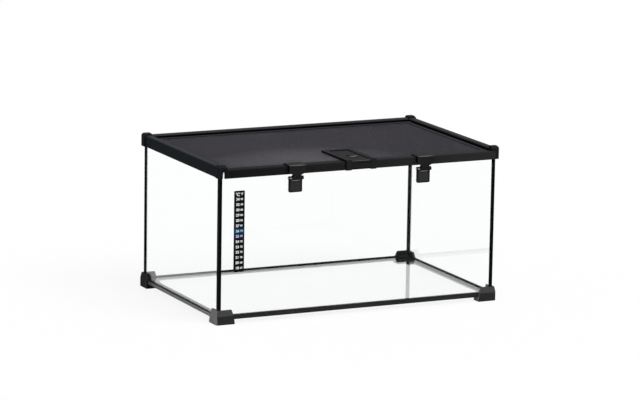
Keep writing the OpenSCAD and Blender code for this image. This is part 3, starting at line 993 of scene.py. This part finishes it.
@dataclass
class FeedingPort:
    """The feeding port: its frame over the lid's front bar, and the slider in the frame."""

    dusty: Colour = (0.016, 0.0155, 0.0175)
    lip_radius: float = 0.55 * MM
    lip_reach: float = 0.2 * MM
    ridge_height: float = 1.3 * MM
    ridge_half: float = 10.8 * MM
    ridge_reach: float = 1.5 * MM
    ridge_drop: float = 0.2 * MM
    ridge_from_face: float = 31.8 * MM
    # Colour of the painted highlights on the slider.
    port_highlight: Colour = (0.26, 0.26, 0.27)
    recess_depth: float = 0.9 * MM
    recess_shade: Colour = (0.0022, 0.0022, 0.0024)

    def _frame(self) -> bpy.types.Material:
        """The frame's plastic, with painted shade on its left sides.

        Returns:
            The material.
        """
        # Painted shade on the left faces.
        tones = (FacedTone.everywhere(Way.LEFT, SHADE),)
        name = "Plastic of port_frame"
        return replace(FITTING_PLASTIC, name=name, dusty=self.dusty, tones=tones).material()

    def _slider(self) -> bpy.types.Material:
        """The slider's plastic, with painted highlights on its lip and thumb ridge, and painted shade
        in its thumb recess.

        Returns:
            The material.
        """
        low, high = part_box("port_slider")
        middle = (low.x + high.x) / 2
        crest = Vector((middle, low.y + self.ridge_from_face, high.z - self.ridge_drop))
        plate_z = high.z - self.ridge_height
        lip = Vector((middle, low.y + self.lip_radius, plate_z - self.lip_radius))
        sunk = plate_z - self.recess_depth / 2
        # Painted shade on the floor of the thumb recess.
        recess = FacedTone(Way.UP, Axis.Z, sunk, sunk - TONE_EDGE, self.recess_shade)
        # Painted highlights on the thumb ridge and along the lip.
        edges = (
            PaintedHighlight(crest, self.ridge_half, self.ridge_reach),
            PaintedHighlight(lip, high.x - low.x, self.lip_reach),
        )
        return replace(
            FITTING_PLASTIC, name="Plastic of port_slider", dusty=self.dusty, edges=edges,
            highlight_colour=self.port_highlight, tones=(recess,),
        ).material()

    def build(self) -> None:
        """Dresses the frame and the slider."""
        dress(self._frame(), "port_frame")
        dress(self._slider(), "port_slider")


@dataclass
class WovenScreen:
    """The lid's screen: two layers of thin straight wire that bear on each other.

    The layers' middles are the bite times a wire's diameter apart.
    """

    finish: CoatedScreenWire = CoatedScreenWire()
    pitch: float = 1.4 * MM
    wire: float = 0.3 * MM
    bite: float = 0.9
    sides: int = 6
    flange_step: float = 2.8 * MM
    flange_rear_step: float = 1.8 * MM

    def _spread(self, low: float, high: float) -> np.ndarray:
        """Evenly spaced places between two edges, as near the pitch as they fit."""
        count = int((high - low - self.wire) / self.pitch)
        return np.linspace(low + self.wire, high - self.wire, count + 1)

    @staticmethod
    def _layer(
        cross: np.ndarray, low: np.ndarray | float, high: np.ndarray | float, z: float, along: Axis
    ) -> np.ndarray:
        """Start and end points of one layer.

        Args:
            cross: place of each wire across its own direction.
            low: where the wires start, one value for all or one for each.
            high: where the wires end, likewise.
            z: height of the layer.
            along: the axis that the wires run along.

        Returns:
            Array of wires by start and end by X, Y and Z.
        """
        ends = np.empty((len(cross), 2, 3))
        ends[:, :, 1 - along.value] = cross[:, None]
        ends[:, 0, along.value] = low
        ends[:, 1, along.value] = high
        ends[:, :, Axis.Z.value] = z
        return ends

    def build(self) -> None:
        """Makes the wires, which stop at the collar of the feeding port."""
        low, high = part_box("screen_mesh")
        port_low, port_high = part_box("port_frame")
        left = port_low.x + self.flange_step
        right = port_high.x - self.flange_step
        rear = port_high.y - self.flange_rear_step
        middle = (low.z + high.z) / 2
        lift = self.wire / 2 * self.bite

        rows = self._spread(low.y, high.y)
        behind, beside = rows[rows > rear], rows[rows <= rear]
        columns = self._spread(low.x, high.x)
        start = np.where((columns > left) & (columns < right), rear, low.y)
        wires = np.concatenate([
            self._layer(behind, low.x, high.x, middle - lift, Axis.X),
            self._layer(beside, low.x, left, middle - lift, Axis.X),
            self._layer(beside, right, high.x, middle - lift, Axis.X),
            self._layer(columns, start, high.y, middle + lift, Axis.Y),
        ])
        mesh = round_bars(wires[:, 0], wires[:, 1], self.wire / 2, self.sides)
        screen = new_piece("woven_screen", mesh, self.finish.material(), "lid")
        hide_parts("screen_mesh")


@dataclass
class ThermometerScale:
    """The numbers on the thermometer strip: Celsius large, Fahrenheit small beside it.

    Each sign of the header has its text, its size, its middle from the strip's left edge, and
    how far it is raised.
    """

    celsius: tuple[int, ...] = (34, 32, 30, 29, 28, 27, 26, 25, 24, 23, 22, 21, 20, 18)
    blue_row: int = 26
    violet_row: int = 25
    first_row: float = 14.0 * MM
    row_pitch: float = 8.65 * MM
    glow_rows: float = 0.75
    header_drop: float = 6.2 * MM
    header: tuple[tuple[str, float, float, float], ...] = (
        ("°", 5.0 * MM, 3.6 * MM, 0.9 * MM),
        ("C", 7.2 * MM, 6.9 * MM, 0.0),
        ("°", 3.6 * MM, 11.7 * MM, 1.2 * MM),
        ("F", 5.2 * MM, 14.2 * MM, 0.6 * MM),
    )
    large: float = 5.7 * MM
    small: float = 4.2 * MM
    widening: float = 1.06
    large_x: float = 6.4 * MM
    small_x: float = 13.3 * MM
    boldness: float = 0.04
    ink_depth: float = 0.03 * MM
    curve_steps: int = 3
    weld: float = 0.001 * MM
    white_ink: PrintedInk = PrintedInk("White ink", (0.80, 0.80, 0.80))
    blue_ink: PrintedInk = PrintedInk("Blue row", (0.42, 0.62, 0.86))
    violet_ink: PrintedInk = PrintedInk("Violet row", (0.60, 0.57, 0.76))

    @staticmethod
    def _fahrenheit(celsius: int) -> int:
        """A temperature in whole degrees Fahrenheit."""
        return round(celsius * 1.8 + 32)

    def row_z(self, celsius: int) -> float:
        """Height of the middle of a number's row."""
        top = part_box("thermometer_strip")[1].z
        return top - self.first_row - self.celsius.index(celsius) * self.row_pitch

    def _write(self, sheet: bmesh.types.BMesh, text: str, size: float, x: float, z: float) -> None:
        """Adds one word of ink to a sheet.

        Args:
            sheet: the mesh that takes it.
            text: what is printed.
            size: size of the letters.
            x: middle of the word, from the strip's left edge.
            z: middle of the word's height.
        """
        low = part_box("thermometer_strip")[0]
        curve = bpy.data.curves.new("ink", "FONT")
        curve.body = text
        curve.size = size
        curve.offset = size * self.boldness
        curve.extrude = self.ink_depth
        curve.resolution_u = self.curve_steps
        curve.align_x = "CENTER"
        curve.align_y = "CENTER"
        holder = bpy.data.objects.new("ink", curve)
        bpy.context.scene.collection.objects.link(holder)
        bpy.context.view_layer.update()
        depsgraph = bpy.context.evaluated_depsgraph_get()
        mesh = bpy.data.meshes.new_from_object(holder.evaluated_get(depsgraph))
        upright = Matrix.Rotation(math.radians(90), 4, "X")
        wider = Matrix.Diagonal((self.widening, 1.0, 1.0, 1.0))
        mesh.transform(Matrix.Translation((low.x + x, low.y, z)) @ upright @ wider)
        sheet.from_mesh(mesh)
        bpy.data.objects.remove(holder)
        bpy.data.curves.remove(curve)
        bpy.data.meshes.remove(mesh)

    def _print(self, name: str, rows: Sequence[int], ink: PrintedInk, header: bool = False) -> None:
        """Prints some of the rows as one piece.

        Args:
            name: name of the piece.
            rows: the Celsius numbers of its rows.
            ink: the ink.
            header: whether it carries the two unit signs.
        """
        sheet = bmesh.new()
        if header:
            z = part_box("thermometer_strip")[1].z - self.header_drop
            for text, size, x, rise in self.header:
                self._write(sheet, text, size, x, z + rise)
        for number in rows:
            z = self.row_z(number)
            self._write(sheet, str(number), self.large, self.large_x, z)
            self._write(sheet, str(self._fahrenheit(number)), self.small, self.small_x, z)
        bmesh.ops.remove_doubles(sheet, verts=sheet.verts, dist=self.weld)
        bmesh.ops.recalc_face_normals(sheet, faces=sheet.faces)
        mesh = bpy.data.meshes.new(name)
        sheet.to_mesh(mesh)
        sheet.free()
        new_piece(name, mesh, ink.material(), "tank")

    def build(self) -> None:
        """Prints the scale in three inks and gives the strip its film."""
        lit = (self.blue_row, self.violet_row)
        plain = [number for number in self.celsius if number not in lit]
        self._print("scale_numbers", plain, self.white_ink, header=True)
        self._print("scale_blue_row", [self.blue_row], self.blue_ink)
        self._print("scale_violet_row", [self.violet_row], self.violet_ink)
        blue_z, violet_z = (self.row_z(row) for row in lit)
        film = FilmStrip(blue_z, violet_z, self.row_pitch * self.glow_rows)
        dress(film.material(), "thermometer_strip")


# Stage, light and camera


@dataclass(frozen=True)
class SoftSun:
    """One distant soft light, which lights the floor evenly."""

    name: str
    comes_from: Triple
    angle: float
    strength: float

    def build(self) -> None:
        """Adds the light to the scene."""
        data = bpy.data.lights.new(self.name, "SUN")
        data.angle = math.radians(self.angle)
        data.energy = self.strength
        lamp = bpy.data.objects.new(self.name, data)
        lamp.location = self.comes_from
        lamp.rotation_euler = (-Vector(self.comes_from)).to_track_quat("-Z", "Y").to_euler()
        bpy.context.scene.collection.objects.link(lamp)
        log.info("light %s: %.2f", self.name, self.strength)


@dataclass
class Studio:
    """White floor and surroundings with soft light from above and in front."""

    floor_half: float = 12.0
    floor_points: int = 3
    floor_white: Colour = (0.93, 0.93, 0.93)
    floor_glow: float = 0.88
    ambient: float = 0.53
    key: SoftSun = SoftSun("key", (0.5, -0.8, 1.2), 40.0, 2.1)

    @staticmethod
    def _seen(shader: Shader) -> Socket:
        """1 for rays that show the surroundings to the camera, also by glass or gloss.

        Args:
            shader: the node tree that takes the mask.

        Returns:
            The mask, from 0 to 1.
        """
        kinds = ("Is Camera Ray", "Is Glossy Ray", "Is Transmission Ray")
        rays = [shader.add("ShaderNodeLightPath", output=kind) for kind in kinds]
        return (rays[0] + rays[1] + rays[2]).unit()

    def _floor_finish(self) -> bpy.types.Material:
        """A matt white surface that glows where it is seen.

        Returns:
            The material.
        """
        shader = Shader.named("Studio floor")
        matt = shader.add("ShaderNodeBsdfDiffuse", {}, {"Color": rgba(self.floor_white)})
        glow = shader.add("ShaderNodeEmission", {}, {"Color": (1, 1, 1, 1), "Strength": 1.0})
        share = self._seen(shader) * self.floor_glow
        return shader.finish(shader.add("ShaderNodeMixShader", {}, {0: share, 1: matt, 2: glow}))

    def _floor(self) -> None:
        """Lays the floor: a flat square grid of points at height 0, joined by quads."""
        count = self.floor_points
        reach = np.linspace(-self.floor_half, self.floor_half, count)
        x, y = np.meshgrid(reach, reach, indexing="ij")
        points = np.stack([x, y, np.zeros_like(x)], axis=-1).reshape(-1, 3)
        i, j = np.meshgrid(np.arange(count - 1), np.arange(count - 1), indexing="ij")
        corner = (i * count + j).reshape(-1)
        faces = np.stack([corner, corner + count, corner + count + 1, corner + 1], axis=-1)
        mesh = bpy.data.meshes.new("floor")
        mesh.from_pydata(points, [], faces.tolist())
        mesh.update()
        mesh.materials.append(self._floor_finish())
        floor = bpy.data.objects.new("floor", mesh)
        bpy.context.scene.collection.objects.link(floor)

    def _surroundings(self) -> None:
        """Makes the world white where it is seen and softer as a light."""
        world = bpy.data.worlds.new("Surroundings")
        bpy.context.scene.world = world
        shader = Shader(world)
        strength = self.ambient + self._seen(shader) * (1.0 - self.ambient)
        inputs = {"Color": (1, 1, 1, 1), "Strength": strength}
        shader.finish(shader.add("ShaderNodeBackground", {}, inputs))

    def build(self) -> None:
        """Builds floor, surroundings and light."""
        self._floor()
        self._surroundings()
        self.key.build()
        bpy.context.scene.view_settings.view_transform = "Standard"


@dataclass
class PhotoCamera:
    """The photograph's camera: a long lens, in front, to the left and a little above."""

    azimuth: float = 25.544
    elevation: float = 11.536
    roll: float = 0.943
    distance: float = 6.1233
    target_z: float = 125 * MM
    picture: tuple[int, int] = (640, 400)
    focal_px: float = 3674.6
    centre_px: tuple[float, float] = (317.96, 219.6)
    sensor: float = 36.0

    def build(self) -> None:
        """Adds the camera, aimed at the axis between the four feet."""
        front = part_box("front_left_foot")[0].y
        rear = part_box("rear_left_foot")[1].y
        target = Vector((0.0, (front + rear) / 2, self.target_z))
        az, el, roll = (math.radians(angle) for angle in (self.azimuth, self.elevation, self.roll))
        back = Vector((-math.sin(az) * math.cos(el), -math.cos(az) * math.cos(el), math.sin(el)))
        right = (-back).cross(Vector((0, 0, 1))).normalized()
        up = right.cross(-back)
        turned_right = right * math.cos(roll) + up * math.sin(roll)
        turned_up = up * math.cos(roll) - right * math.sin(roll)
        axes = Matrix((turned_right, turned_up, back)).transposed().to_4x4()
        data = bpy.data.cameras.new("photo_camera")
        data.sensor_width = self.sensor
        width, height = self.picture
        data.lens = self.focal_px * self.sensor / width
        data.shift_x = (width / 2 - self.centre_px[0]) / width
        data.shift_y = (self.centre_px[1] - height / 2) / width
        camera = bpy.data.objects.new("photo_camera", data)
        camera.matrix_world = Matrix.Translation(target + back * self.distance) @ axes
        bpy.context.scene.collection.objects.link(camera)
        bpy.context.scene.camera = camera
        log.info("camera: lens %.1f mm", data.lens)


def main() -> None:
    """Dresses the model, adds its fine pieces and sets the stage."""
    logging.basicConfig(level=logging.INFO, format="%(name)s: %(message)s")
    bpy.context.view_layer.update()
    frame_plastic = FRAME_PLASTIC.material()
    Tank().build(frame_plastic)
    LidFrame().build(frame_plastic)
    FlipLatches().build()
    FeedingPort().build()
    WovenScreen().build()
    ThermometerScale().build()
    Studio().build()
    PhotoCamera().build()


if __name__ == "__main__":
    main()
